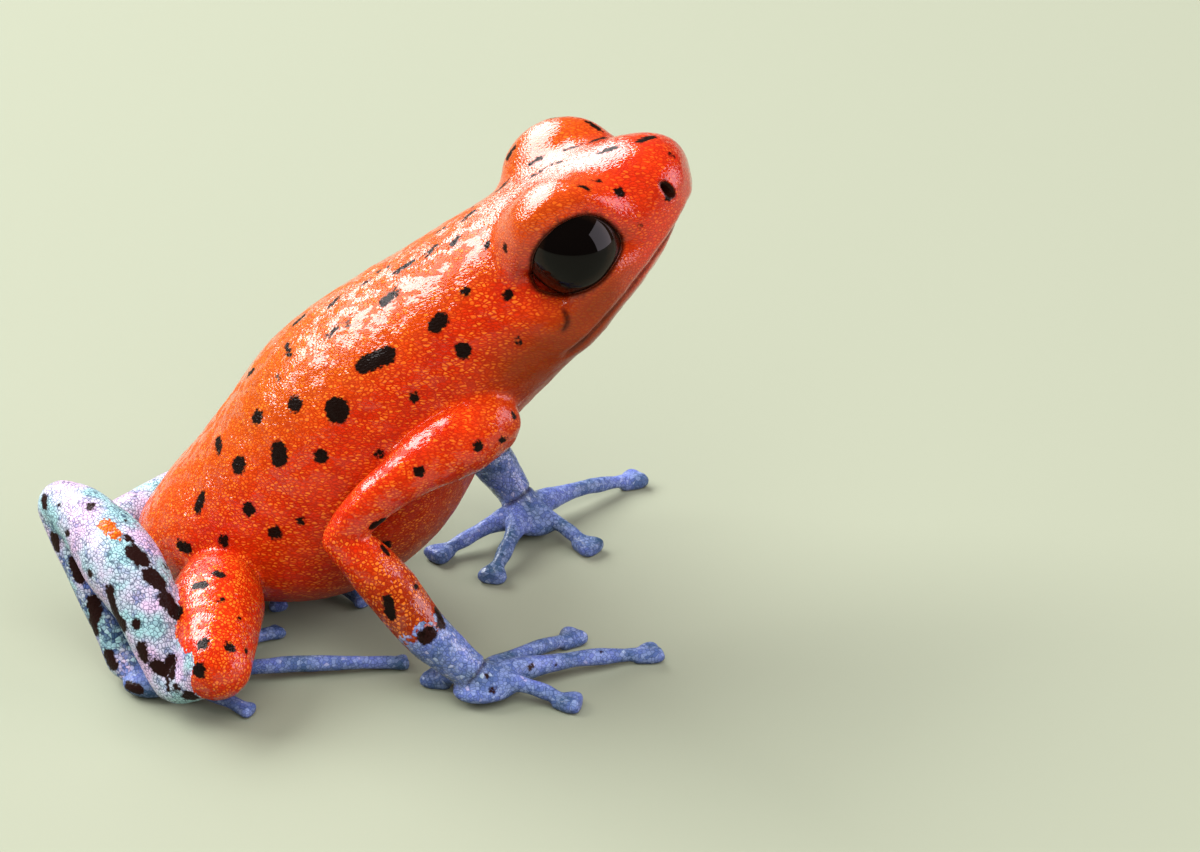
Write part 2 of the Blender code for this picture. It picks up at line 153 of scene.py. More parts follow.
# %% Legs
LEGS = {
    "right": {
        "thigh": (
            (-4.30, -2.10, 2.10), (-4.25, -3.40, 2.40), (-4.10, -4.90, 2.55),
            (-3.88, -6.60, 2.30), (-3.70, -7.65, 2.05),
        ),
        "shank": (
            (-4.30, -7.70, 1.60), (-5.08, -7.30, 1.15), (-5.62, -6.70, 2.12), (-6.13, -5.95, 3.16),
            (-7.05, -4.90, 4.00), (-8.25, -3.60, 4.70), (-9.20, -2.75, 4.80),
        ),
        "tarsus": ((-9.30, -2.75, 4.70), (-8.60, -3.60, 3.40), (-7.70, -4.50, 2.00), (-7.00, -5.20, 0.75)),
        "sole": (-6.00, -5.95, 0.40),
        "tips": ((-6.10, -3.85), (-4.90, -2.75), (-2.72, -2.10), (1.45, -3.75), (-2.95, -7.15)),
    },
    "left": {
        "thigh": (
            (-3.90, 2.10, 2.20), (-3.60, 3.40, 2.45), (-3.25, 4.70, 2.45),
            (-2.85, 6.00, 2.05), (-2.55, 6.90, 1.80),
        ),
        "shank": (
            (-2.75, 6.80, 1.55), (-3.20, 6.50, 1.50), (-3.90, 5.80, 1.60), (-4.75, 4.90, 1.75),
            (-5.80, 3.80, 1.95), (-7.10, 2.40, 2.10), (-8.10, 1.30, 2.15),
        ),
        "tarsus": ((-8.10, 1.30, 2.15), (-7.20, 2.40, 1.70), (-6.20, 3.60, 1.20), (-5.30, 4.60, 0.75)),
        "sole": (-4.60, 4.50, 0.40),
        "tips": ((-4.60, 2.20), (-3.90, 1.10), (-2.90, -0.20), (-0.30, 0.30), (-1.70, 4.90)),
    },
}
GIRTHS = {
    "upper_arm": (1.10, 1.12, 0.94, 0.76, 0.66, 0.62),
    "forearm": (0.62, 0.76, 0.86, 0.82, 0.76, 0.66, 0.58),
    "thigh": (1.10, 1.28, 1.50, 1.30, 1.12),
    "shank": (0.72, 0.64, 0.84, 1.05, 1.22, 0.98, 0.78),
    "tarsus": (0.70, 0.60, 0.56, 0.56),
}


def limb_routes(side):
    return {name: {**ARMS[side], **LEGS[side]}[name] for name in GIRTHS}


# %% [markdown]
# ## Shapes to build the flesh from
#
# Three shapes are enough: a loft through the trunk's sections, a tube whose girth changes
# along its way, and a ball squeezed to three radii. Each is closed, and they overlap freely,
# because the next step melts them into one.

# %% Curves, circles and lofts
def spline(knots, count):
    """Count points along a smooth curve through the knots, by Catmull and Rom's rule."""
    knots = np.array(knots, float)
    if knots.ndim == 1:
        knots = knots[:, None]
    padded = np.vstack([2 * knots[0] - knots[1], knots, 2 * knots[-1] - knots[-2]])
    at = np.linspace(0, len(knots) - 1, count)
    i = np.minimum(at.astype(int), len(knots) - 2)
    u = (at - i)[:, None]
    a, b, c, d = padded[i], padded[i + 1], padded[i + 2], padded[i + 3]
    return b + 0.5 * u * (c - a + u * (2 * a - 5 * b + 4 * c - d + u * (3 * (b - c) + d - a)))


def around(count):
    """That many angles, evenly round a circle."""
    return np.linspace(0, 2 * np.pi, count, endpoint=False)


def bell(value, width):
    """1 where the value is 0, fading to nothing about two widths away on either side."""
    return np.exp(-((value / width) ** 2))


def squarish(value, power):
    """A sine or cosine pushed outwards, which turns a circle into a rounded square."""
    return np.sign(value) * np.abs(value) ** power


def circle(place, radius, across, over, turns):
    return place + radius * (np.outer(np.cos(turns), across) + np.outer(np.sin(turns), over))


def closed_loft(rings):
    """Vertices and faces of a closed skin through rings of the same number of points."""
    count, sides = len(rings), len(rings[0])
    points = [tuple(p) for ring in rings for p in ring]
    faces = []
    for row in range(count - 1):
        for i in range(sides):
            j = (i + 1) % sides
            low, high = row * sides, (row + 1) * sides
            faces.append((low + i, low + j, high + j, high + i))
    faces.append(tuple(reversed(range(sides))))
    faces.append(tuple(range((count - 1) * sides, count * sides)))
    return points, faces


# %% The trunk, tubes and balls
def trunk(rings=150, sides=96):
    """The loft from the vent to the snout. A squareness of 2 gives a plain oval section."""
    rows = [[*top, *low, *rest] for top, low, *rest in TRUNK_SECTIONS]
    turns = around(sides)
    made = []
    for top_x, top_z, low_x, low_z, width, drop, squareness in spline(rows, rings):
        power = 2 / squareness
        side, rise = squarish(np.sin(turns), power), squarish(np.cos(turns), power)
        rise -= drop * (1 - rise * rise)
        x = (top_x + low_x) / 2 + (top_x - low_x) / 2 * rise
        z = (top_z + low_z) / 2 + (top_z - low_z) / 2 * rise
        made.append(np.stack([x, max(width, 0.1) * side, z], 1))
    return closed_loft(made)


CAP_ANGLES = np.radians((22, 45, 65, 85))


def tube(route, girths, sides=28, steps=30):
    """A round-ended tube along a smooth route."""
    points, radii = spline(route, steps), spline(girths, steps)[:, 0]
    ahead = np.gradient(points, axis=0)
    ahead /= np.linalg.norm(ahead, axis=1)[:, None]
    line = [(points[0] - ahead[0] * radii[0] * math.sin(a), radii[0] * math.cos(a), ahead[0])
            for a in CAP_ANGLES[::-1]]
    line += list(zip(points, radii, ahead))
    line += [(points[-1] + ahead[-1] * radii[-1] * math.sin(a), radii[-1] * math.cos(a), ahead[-1])
             for a in CAP_ANGLES]
    turns = around(sides)
    rings = []
    for place, radius, way in line:
        across = np.cross((0.0, 0.0, 1.0), way)
        if np.linalg.norm(across) < 0.05:
            across = np.array((0.0, 1.0, 0.0))
        across /= np.linalg.norm(across)
        rings.append(circle(place, radius, across, np.cross(way, across), turns))
    return closed_loft(rings)


def ball(middle, radii, pitch=0.0, turn=0.0, sides=40, rows=28):
    """A ball squeezed to three radii, then pitched nose-up and turned about the vertical."""
    turned = np.array(Matrix.Rotation(turn, 3, "Z") @ Matrix.Rotation(-pitch, 3, "Y"))
    turns = around(sides)
    rings = []
    for low in np.linspace(-np.pi / 2 + 0.06, np.pi / 2 - 0.06, rows):
        ring = np.stack([np.cos(turns) * np.cos(low), np.sin(turns) * np.cos(low), np.full(sides, np.sin(low))], 1)
        rings.append((ring * np.array(radii)) @ turned.T + np.array(middle))
    return closed_loft(rings)


# %% [markdown]
# ## Hands and feet
#
# A poison frog's digits are thin and slightly knobbly at their joints. Each ends in a disc,
# wide and cut off square, with a notch along its back. The palm lies nearly flat.

# %% Digits with their discs
FINGER_GIRTHS = (0.52, 0.44, 0.31, 0.25, 0.27, 0.22, 0.24)
TOE_GIRTHS = (0.40, 0.32, 0.25, 0.27, 0.22, 0.23)
# Length, half width and half height
FINGER_DISC = (0.94, 0.50, 0.28)
TOE_DISC = (0.60, 0.34, 0.22)
# How far ahead of its middle, how wide and how high, as shares of those three
DISC_SECTIONS = ((-0.50, 0.42, 0.80), (-0.25, 0.62, 0.95), (0.05, 0.90, 1.0), (0.30, 1.0, 0.95), (0.46, 0.86, 0.70))
DISC_NOTCH = 0.22
TIP_HEIGHT = 0.24
ROOT_LIFT = 0.24


def disc(middle, turn, size):
    """A disc seen from above is a fan: narrow at the neck, widest near its square front."""
    length, half_width, half_height = size
    turns = around(24)
    side, rise = squarish(np.cos(turns), 0.8), squarish(np.sin(turns), 0.9)
    rise *= 1 - DISC_NOTCH * bell(side, 0.22) * (rise > 0)
    way = np.array((math.cos(turn), math.sin(turn), 0))
    aside = np.array((-math.sin(turn), math.cos(turn), 0))
    rings = []
    for ahead, wide, high in spline(DISC_SECTIONS, 14):
        place = np.array(middle) + way * ahead * length
        across = np.outer(side * wide * half_width, aside)
        rings.append(place + across + np.outer(rise * high * half_height, (0, 0, 1)))
    return closed_loft(rings)


def digit(root, tip, girths, size, bend=0.0):
    """One finger or toe: a knobbly shaft from its root to a disc that rests on the floor."""
    root, end = Vector(root), Vector((*tip, TIP_HEIGHT))
    way = end - root
    turn = math.atan2(way.y, way.x)
    aside = Vector((-math.sin(turn), math.cos(turn), 0))
    route = []
    for share in (0.0, 0.3, 0.55, 0.8, 0.97):
        place = root.lerp(end, share) + aside * bend * math.sin(math.pi * share)
        place.z += 0.16 * math.sin(math.pi * share)
        route.append(place)
    return [tube(route, girths, sides=16, steps=24), disc(end, turn, size)]


# %% Hands and feet
def heading(start, end):
    return math.atan2(end[1] - start[1], end[0] - start[0])


def hand(side):
    arm = ARMS[side]
    palm, wrist = Vector(arm["palm"]), Vector(arm["forearm"][-1])
    pieces = [ball(palm, (1.10, 0.85, 0.40), turn=heading(palm, arm["tips"][2]))]
    pieces.append(tube((wrist, wrist.lerp(palm, 0.6), palm), (0.60, 0.56, 0.46)))
    root = wrist.lerp(palm, 0.65)
    root.z = palm.z + ROOT_LIFT
    for tip in arm["tips"]:
        pieces += digit(root, tip, FINGER_GIRTHS, FINGER_DISC, bend=0.10)
    return pieces


def foot(side):
    leg = LEGS[side]
    sole, ankle = Vector(leg["sole"]), Vector(leg["tarsus"][-1])
    pieces = [ball(sole, (0.95, 0.72, 0.45), turn=heading(sole, leg["tips"][3]))]
    pieces.append(tube((ankle, ankle.lerp(sole, 0.5), sole), (0.58, 0.54, 0.42)))
    for tip in leg["tips"]:
        pieces += digit(sole + Vector((0, 0, 0.1)), tip, TOE_GIRTHS, TOE_DISC, bend=0.08)
    return pieces


# %% [markdown]
# ## One skin
#
# Overlapping lumps show a hard seam wherever they meet, and the real skin has none. Blender's
# voxel remesher wraps everything in one even net, as if the lumps were shrink-wrapped. The net
# is then relaxed, most of all at the joints and round the eyes' bulges. That rounds the seams
# there and keeps the folds where the thigh, shank and upper arm press on what lies next to them.

# %% Wrap the flesh in one net
NET = 0.06


def flesh_pieces():
    pieces = [trunk()]
    for side in SIDES:
        pieces.append(ball(BULGE_AT[side], BULGE_RADII, HEAD_PITCH, sides=64, rows=48))
        for name, route in limb_routes(side).items():
            pieces.append(tube(route, GIRTHS[name]))
        pieces += hand(side)
        pieces += foot(side)
    return pieces


def placed(name, data):
    obj = bpy.data.objects.new(name, data)
    bpy.context.scene.collection.objects.link(obj)
    return obj


def joined(name, pieces):
    """One mesh object made of many closed pieces, still overlapping."""
    points, faces = [], []
    for some_points, some_faces in pieces:
        base = len(points)
        points += some_points
        faces += [tuple(base + i for i in face) for face in some_faces]
    mesh = bpy.data.meshes.new(name)
    mesh.from_pydata(points, [], faces)
    return placed(name, mesh)


def applied(obj):
    """Replaces obj's mesh by what its modifiers make of it."""
    shown = obj.evaluated_get(bpy.context.evaluated_depsgraph_get())
    mesh = bpy.data.meshes.new_from_object(shown)
    obj.modifiers.clear()
    obj.data = mesh
    return obj


skin = joined("skin", flesh_pieces())
remesh = skin.modifiers.new("net", "REMESH")
remesh.mode = "VOXEL"
remesh.voxel_size = NET
applied(skin)
print("the net has", len(skin.data.vertices), "points")

# %% [markdown]
# The net is worked on as arrays of numbers, one row for each point. Relaxing moves each point
# part of the way to the middle of its neighbours, over and over.

# %% Read, write and relax the net
def rows_of(items, key):
    """One row of three numbers for each item, as Blender stores them under the key."""
    found = np.empty(len(items) * 3)
    items.foreach_get(key, found)
    return found.reshape(-1, 3)


def points_of(mesh):
    return rows_of(mesh.vertices, "co")


def normals_of(mesh):
    return rows_of(mesh.vertex_normals, "vector")


def write_points(mesh, points):
    mesh.vertices.foreach_set("co", points.ravel())
    mesh.update()


def ramp(value, start, end):
    """0 at start, 1 at end, smooth in between."""
    share = np.clip((value - start) / (end - start), 0, 1)
    return share * share * (3 - 2 * share)


def relaxed(mesh, weight, rounds):
    """Moves the mesh's points, each by its weight as a share of the way, that many times."""
    points = points_of(mesh)
    edges = np.empty(len(mesh.edges) * 2, dtype=np.int32)
    mesh.edges.foreach_get("vertices", edges)
    edges = edges.reshape(-1, 2)
    first, second = edges[(weight[edges] > 0).any(1)].T
    size = len(points)
    count = np.maximum(np.bincount(first, minlength=size) + np.bincount(second, minlength=size), 1)
    for _ in range(rounds):
        total = np.stack(
            [np.bincount(first, points[second, k], size) + np.bincount(second, points[first, k], size)
             for k in range(3)], 1)
        points += weight[:, None] * (total / count[:, None] - points)
    write_points(mesh, points)


# Stands for "too far to count" wherever distances are compared.
FAR = 9.0


def distance_from(points, place):
    return np.linalg.norm(points - np.array(place), axis=1)


def near(points, place, radius):
    """1 within half the radius of a place, fading to 0 at the radius."""
    return 1 - ramp(distance_from(points, place), radius * 0.5, radius)


# %% Round the joints and the eyes' bulges
JOINT_WEIGHT, ELSEWHERE, JOINT_ROUNDS = 0.5, 0.12, 24
BULGE_WEIGHT, BULGE_REACH, BULGE_ROUNDS = 0.6, 3.4, 320


def joint_weights(points):
    found = np.full(len(points), ELSEWHERE)
    for side in SIDES:
        arm, leg = ARMS[side], LEGS[side]
        joints = (
            (arm["upper_arm"][0], 1.7), (arm["upper_arm"][-1], 1.1), (arm["forearm"][-1], 1.1),
            (arm["palm"], 1.4), (leg["thigh"][-1], 1.0), (leg["shank"][0], 1.0),
            (leg["tarsus"][0], 1.1), (leg["tarsus"][-1], 1.0), (leg["sole"], 1.3),
        )
        for place, radius in joints:
            found = np.maximum(found, JOINT_WEIGHT * near(points, place, radius))
    return found


def bulge_weights(points):
    return BULGE_WEIGHT * np.maximum(*[near(points, BULGE_AT[side], BULGE_REACH) for side in SIDES])


relaxed(skin.data, joint_weights(points_of(skin.data)), JOINT_ROUNDS)
relaxed(skin.data, bulge_weights(points_of(skin.data)), BULGE_ROUNDS)
print("once relaxed, the skin spans", np.ptp(points_of(skin.data), axis=0).round(2), "mm")

# %% [markdown]
# ## The face
#
# The eyes, nostrils and mouth give the face its life. The eye's lids hug the eyeball in a
# slightly pointed oval, longer along the head than across it. Points of the net inside the
# oval sink under the ball, and those round it are drawn to just above its surface. The opening
# is given as the photograph shows it, so the camera's sight lines come first.

# %% The camera's sight lines
# The frog was seen from 26 degrees above the floor and 5 degrees ahead of straight from its
# right side, through a long lens. Lengths are in millimetres.
ELEVATION, AZIMUTH = math.radians(26), math.radians(5)
DISTANCE, LENS = 180.0, 172.8
SENSOR = 36.0
PHOTO_WIDTH, PHOTO_HEIGHT = 1200, 852
LOOKS_AT = Vector((7.4, 0.0, 6.9))

back = Vector((math.sin(AZIMUTH) * math.cos(ELEVATION), -math.cos(AZIMUTH) * math.cos(ELEVATION),
               math.sin(ELEVATION)))
rightward = Vector((math.cos(AZIMUTH), math.sin(AZIMUTH), 0))
upward = back.cross(rightward)
EYE_POINT = LOOKS_AT + back * DISTANCE
PIXELS_PER_UNIT = LENS / SENSOR * PHOTO_WIDTH


def sight_line(x, y):
    """The direction in which the camera sees a place in the photograph, given in its pixels."""
    across, over = (x - PHOTO_WIDTH / 2) / PIXELS_PER_UNIT, (PHOTO_HEIGHT / 2 - y) / PIXELS_PER_UNIT
    return (rightward * across + upward * over - back).normalized()


# %% The eye's opening
EYE_LOOKS = Vector((0.16, 0.94, 0.30))
# The edge of the near eye's opening as the photograph shows it, in its pixels, from the front
# corner round over the top, and back along the bottom.
LID_EDGE_SEEN = (
    (622, 243), (612, 226), (600, 217.5), (588, 215), (575, 217), (563, 222.5), (549, 233.5), (538, 246),
    (533, 255), (532, 270), (534, 287), (546, 293), (563, 294.5), (580, 291.5), (597, 283.5), (611, 268),
    (618, 256),
)


def eye_axes(side):
    """Along the head, up across the eye, and outwards, as rows."""
    looks = mirrored(EYE_LOOKS, side).normalized()
    along = Vector((math.cos(HEAD_PITCH), 0, math.sin(HEAD_PITCH)))
    along = (along - looks * along.dot(looks)).normalized()
    up = looks.cross(along) if side == "right" else along.cross(looks)
    return np.array((along, up, looks))


def on_eyeball(x, y):
    """Where the sight line through a pixel meets the near eyeball, from the eye's middle."""
    start, way = EYE_POINT - mirrored(EYE_AT, "right"), sight_line(x, y)
    nearest = -start.dot(way)
    miss = (start + way * nearest).length
    half = math.sqrt(max(EYE_RADIUS**2 - miss**2, 0.0))
    return start + way * (nearest - half)


opening = np.array([on_eyeball(*seen) for seen in LID_EDGE_SEEN]) @ eye_axes("right").T
opening_turn = np.arctan2(opening[:, 1], opening[:, 0])
opening_reach = np.hypot(opening[:, 0], opening[:, 1])
print("the eye opens from", opening_reach.min().round(2), "to", opening_reach.max().round(2), "mm out")


def edge_reach(turn):
    """How far the opening reaches in each direction round the eye, smoothed a little."""
    nearby = np.radians((-8, -4, 0, 4, 8))
    return sum(np.interp(turn + n, opening_turn, opening_reach, period=2 * np.pi) for n in nearby) / len(nearby)


# %% Lids
LID_HEIGHT = 0.06
LID_BLEND = 1.1
EYE_POCKET = 0.40
LID_WEIGHT, LID_ROUNDS = 0.5, 50


def beyond_lids(points, side):
    """How far points are outside the eye's opening, how far out from the eye's axis they and the
    edge are, and how far along that axis."""
    u, v, w = eye_axes(side) @ (points - np.array(mirrored(EYE_AT, side))).T
    out = np.hypot(u, v)
    edge = edge_reach(np.arctan2(v, u))
    return out - edge, out, edge, w


def shape_lids(points, side):
    """Draws the skin round the opening up to the eyeball, and sinks what is inside it."""
    beyond, out, edge, w = beyond_lids(points, side)
    rim = np.sqrt(np.maximum(EYE_RADIUS**2 - edge**2, 0.0)) + LID_HEIGHT
    share = (1 - ramp(beyond, 0.02, LID_BLEND)) * (1 - ramp(beyond, 0.05, 0.45) * (1 - ramp(w, -0.6, 0.6)))
    share *= ramp(w, -1.2, -0.4)
    wanted = w + share * (rim - w)
    under = np.sqrt(np.maximum(EYE_RADIUS**2 - np.minimum(out, edge) ** 2, 0.0)) - EYE_POCKET
    wanted += (1 - ramp(beyond, -0.07, 0.01)) * (under - wanted)
    outer = (w > -1.2) & (beyond < LID_BLEND)
    points[outer] += ((wanted - w)[:, None] * eye_axes(side)[2])[outer]


def lid_weights(points):
    """1 in a ring round each opening, where the pulling left small folds, but not at its edge."""
    found = np.zeros(len(points))
    for side in SIDES:
        beyond, _, _, w = beyond_lids(points, side)
        found = np.maximum(found, ramp(beyond, 0.06, 0.25) * (1 - ramp(beyond, 1.0, 1.5)) * (w > -1.4))
    return found


# %% [markdown]
# The mouth is one long line from below the snout's tip to under the back of the eye. It is
# where the head meets a slanting plane, so the distance from that plane tells each point
# whether it lies in the groove or on a lip. Each nostril is a small upright oval pit with a
# faint rim, and the eardrum barely shows behind the eye.

# %% Mouth
MOUTH_FRONT = Vector((10.2, 0, 14.80))
MOUTH_CORNER = Vector((6.45, 0, 10.45))
MOUTH_SAG = 0.15
GROOVE_DEPTH, LIP_HEIGHT = 0.13, 0.04


def inward(points, normals, amount):
    points -= normals * amount[:, None]


def from_mouth(points):
    """How far points are above the mouth line, and a mask that is 1 along it. Towards the
    corners the mask leaves out the throat, which the slanting plane cuts as well."""
    along = MOUTH_FRONT - MOUTH_CORNER
    length = along.length
    along = np.array(along / length)
    across = np.array((-along[2], 0, along[0]))
    offset = points - np.array(MOUTH_CORNER)
    share = offset @ along / length
    above = offset @ across + MOUTH_SAG * np.sin(np.pi * np.clip(share, 0, 1))
    at_side = np.maximum(ramp(np.abs(points[:, 1]), 1.7, 2.4), ramp(share, 0.30, 0.55))
    return above, ramp(share, -0.02, 0.12) * ramp(points[:, 0], 5.8, 6.3) * at_side


def shape_mouth(points, normals):
    above, mask = from_mouth(points)
    groove = GROOVE_DEPTH * bell(above, 0.075)
    lips = LIP_HEIGHT * bell(np.abs(above) - 0.24, 0.13)
    inward(points, normals, (groove - lips) * mask)


# %% Nostrils, eardrums and the folds at the wrists
NOSTRIL_AT = Vector((9.58, 1.45, 15.66))
NOSTRIL_LOOKS = Vector((0.85, 0.38, 0.37))
NOSTRIL_TALL, NOSTRIL_WIDE, NOSTRIL_DEPTH, NOSTRIL_RIM = 0.30, 0.14, 0.40, 0.02
EAR_AT = Vector((6.34, 3.27, 11.99))
EAR_DEPTH = 0.012
WRIST_DEPTH = 0.07


def from_nostril(points, side):
    """How far points are from the nostril's middle, as a share of its oval."""
    offset = points - np.array(mirrored(NOSTRIL_AT, side))
    outward = mirrored(NOSTRIL_LOOKS, side).normalized()
    long = np.array((Vector((0, 0, 1)) - outward * outward.z + mirrored((0, 0.35, 0), side)).normalized())
    outward = np.array(outward)
    flat = offset - np.outer(offset @ outward, outward)
    tall = flat @ long
    wide = np.sqrt(np.maximum((flat**2).sum(1) - tall**2, 0))
    share = np.hypot(tall / NOSTRIL_TALL, wide / NOSTRIL_WIDE)
    return np.where(np.linalg.norm(offset, axis=1) < 1.0, share, FAR)


def shape_nostril(points, normals, side):
    reach = from_nostril(points, side)
    inward(points, normals, -NOSTRIL_RIM * bell(reach - 1.6, 0.5))
    pit = NOSTRIL_DEPTH * (1 - ramp(reach, 0.30, 1.05))
    points -= np.outer(pit, mirrored(NOSTRIL_LOOKS, side).normalized())


def shape_ear(points, normals, side):
    """The eardrum: a faint round dent behind the eye, above the corner of the mouth."""
    distance = distance_from(points, mirrored(EAR_AT, side))
    inward(points, normals, EAR_DEPTH * (1 - ramp(distance, 0.20, 0.50)))


def wrist_fold(points, side):
    """1 along the fold across the back of the wrist, where the hand bends up."""
    start, wrist = Vector(ARMS[side]["forearm"][-3]), Vector(ARMS[side]["forearm"][-1])
    way = (wrist - start).normalized()
    offset = points - np.array(wrist + way * 0.10)
    close = 1 - ramp(np.linalg.norm(offset, axis=1), 0.6, 0.95)
    return close * bell(offset @ np.array(way), 0.075) * ramp(points[:, 2], 0.7, 1.0)


# %% Shape the face and the wrists
before = points_of(skin.data)
face_points = before.copy()
for side in SIDES:
    shape_lids(face_points, side)
write_points(skin.data, face_points)
relaxed(skin.data, LID_WEIGHT * lid_weights(face_points), LID_ROUNDS)
face_points, face_normals = points_of(skin.data), normals_of(skin.data)
shape_mouth(face_points, face_normals)
for side in SIDES:
    shape_nostril(face_points, face_normals, side)
    shape_ear(face_points, face_normals, side)
    inward(face_points, face_normals, WRIST_DEPTH * wrist_fold(face_points, side))
write_points(skin.data, face_points)
print("points moved by more than 0.01 mm:", (np.linalg.norm(face_points - before, axis=1) > 0.01).sum())

# %% [markdown]
# Real skin is never as even as a tube. A little noise swells and sinks the surface by a few
# hundredths of a millimetre. The soles and discs are flat where they rest on the floor, so
# nothing reaches below it.

# %% Unevenness, and the floor
# The height of each kind of swelling, and how many there are in a millimetre
SWELLINGS = ((0.03, 0.9), (0.015, 2.6))


def uneven(points, normals):
    lift = np.array([sum(height * noise.noise(Vector(p) * often) for height, often in SWELLINGS) for p in points])
    points += normals * lift[:, None]
    points[:, 2] = np.maximum(points[:, 2], 0.0)


body_points = points_of(skin.data)
uneven(body_points, normals_of(skin.data))
write_points(skin.data, body_points)

# The net is finer than it needs to be once it is shaped, so it is thinned.
MOST_TRIANGLES = 180_000
thin = skin.modifiers.new("fewer", "DECIMATE")
thin.ratio = MOST_TRIANGLES / (2 * len(skin.data.vertices))
applied(skin)
print("the skin has", sum(len(p.vertices) - 2 for p in skin.data.polygons), "triangles")

# %% [markdown]
# ## The camera
#
# The camera stands where the sight lines above start, with the same lens, so the picture can be
# laid over the photograph.

# %% Camera
camera = placed("camera", bpy.data.cameras.new("camera"))
camera.data.sensor_width = SENSOR
camera.data.lens = LENS
camera.data.clip_start = 0.01
camera.data.clip_end = 10
turned = Matrix((rightward, upward, back)).transposed().to_4x4()
camera.matrix_world = Matrix.Translation(TO_FRAME @ EYE_POINT) @ turned
bpy.context.scene.camera = camera

# %% [markdown]
# ## Spots
#
# The black spots are the frog's own, so those in view are where the photograph has them; two
# more on the head are painted shade in the nostrils' pits. Each is given as a place in the
# photograph's pixels with a radius, and a long one as two places. A line from the camera through
# that place meets the skin where the spot sits, and from then on it belongs to the skin. On the
# sides out of view the spots are strewn at the same density.

# %% The spots in view
BODY_SPOTS = (
    (435, 326, 441, 320, 8), (463, 351, 9), (363, 365, 388, 355, 9), (337, 410, 14), (414, 397, 6),
    (295, 404, 9), (257, 417, 8), (279, 450, 279, 458, 10), (239, 465, 10), (321, 456, 8),
    (379, 454, 5), (218, 440, 219, 450, 5), (198, 508, 202, 496, 6), (249, 510, 8),
    (275, 533, 8), (224, 541, 7), (301, 521, 5), (180, 545, 188, 549, 6), (384, 302, 396, 292, 6),
    (466, 292, 6), (508, 295, 6), (518, 341, 5), (505, 248, 5), (487, 245, 5),
    (395, 273, 412, 262, 4), (426, 255, 436, 246, 4), (436, 233, 444, 228, 3), (464, 219, 474, 211, 4),
    (330, 306, 338, 298, 4), (294, 324, 304, 316, 4), (287, 345, 289, 356, 4), (278, 378, 4),
    (247, 376, 253, 370, 4), (326, 338, 338, 326, 4), (348, 324, 4), (452, 245, 457, 238, 4),
    (362, 285, 368, 281, 3), (378, 272, 388, 267, 3),
)
# The far nostril (672, 155) and the near one (665, 184 to 668, 198) are dark spots of painted shade in their pits.
HEAD_SPOTS_AND_NOSTRIL_SHADE = (
    (619, 192, 6), (640, 226, 3), (640, 141, 652, 137, 5), (600, 152, 614, 148, 4), (592, 142, 606, 138, 4),
    (589, 122, 600, 130, 4), (507, 158, 514, 148, 4), (529, 165, 542, 158, 3), (548, 166, 560, 162, 3),
    (532, 176, 541, 171, 4), (498, 190, 507, 182, 4), (580, 186, 588, 189, 3), (594, 180, 600, 181, 2),
    (473, 207, 477, 201, 3), (672, 155, 4), (480, 215, 3), (566, 150, 578, 146, 3), (665, 184, 668, 198, 4),
)
LIMB_SPOTS = (
    (419, 471, 6), (478, 446, 6), (503, 440, 5), (514, 415, 4), (374, 526, 382, 521, 6),
    (388, 600, 391, 616, 6), (424, 637, 430, 633, 8), (438, 612, 441, 624, 6), (416, 587, 4),
    (384, 548, 386, 552, 5), (165, 566, 170, 566, 3), (196, 586, 204, 585, 6), (217, 573, 221, 575, 5),
    (221, 600, 4), (239, 618, 4), (203, 644, 7), (230, 647, 6), (199, 671, 8), (190, 697, 9), (246, 650, 4),
    (169, 664, 169, 690, 3),
)
LEG_SPOTS = (
    (44, 498, 45, 508, 5), (91, 506, 6), (67, 533, 5), (54, 538, 56, 546, 7), (128, 538, 5),
    (134, 552, 142, 560, 9), (74, 562, 80, 578, 7), (90, 574, 5), (150, 575, 160, 583, 9),
    (166, 600, 176, 612, 9), (93, 602, 95, 616, 8), (110, 590, 115, 612, 6), (117, 618, 122, 624, 9),
    (136, 624, 6), (142, 648, 143, 656, 7), (156, 666, 164, 670, 8), (171, 660, 172, 676, 6),
    (92, 622, 95, 630, 7), (108, 656, 112, 664, 8), (128, 686, 138, 690, 6), (176, 688, 5), (125, 520, 3),
    (60, 505, 3),
)
HAND_SPOTS = ((487, 676, 3), (493, 690, 4), (530, 667, 4), (556, 665, 2), (602, 652, 2))

# The colours of the near leg mix at the knee: blue on the thigh's hind side, a little orange
# on the shank.
BLUE_PATCHES = ((186, 662, 184, 700, 11), (176, 648, 182, 660, 8))
ORANGE_PATCHES = ((104, 524, 115, 533, 7),)

# %% Set them on the skin
skin_points = points_of(skin.data)
skin_faces = [tuple(face.vertices) for face in skin.data.polygons]
skin_tree = BVHTree.FromPolygons([Vector(p) for p in skin_points], skin_faces)


def seen_on_skin(x, y):
    return skin_tree.ray_cast(EYE_POINT, sight_line(x, y))[0]


def spot_on_skin(seen):
    """(one end, other end, radius) in mm of a spot given by the photograph's pixels, or None if
    the sight lines miss the skin."""
    *ends, radius = seen
    places = [seen_on_skin(*ends[i : i + 2]) for i in range(0, len(ends), 2)]
    places = [place for place in places if place is not None]
    if not places:
        return None
    return places[0], places[-1], radius * DISTANCE / PIXELS_PER_UNIT


found_spots = [spot_on_skin(seen) for seen in BODY_SPOTS + HEAD_SPOTS_AND_NOSTRIL_SHADE + LIMB_SPOTS + LEG_SPOTS + HAND_SPOTS]
spots = [spot for spot in found_spots if spot is not None]
print(len(spots), "spots in view,", len(found_spots) - len(spots), "missed the skin")

# %% The spots out of view
PLACES_TRIED = 9000
SPOT_SPACING = 1.45
SPOT_RADII = (0.16, 0.38)
SPOT_LENGTHS = (0.05, 0.1, 0.35)
BARE_ROUND_EYE = 2.0
BARE_AT_FLOOR = 0.9
EDGE_OF_VIEW = 0.15


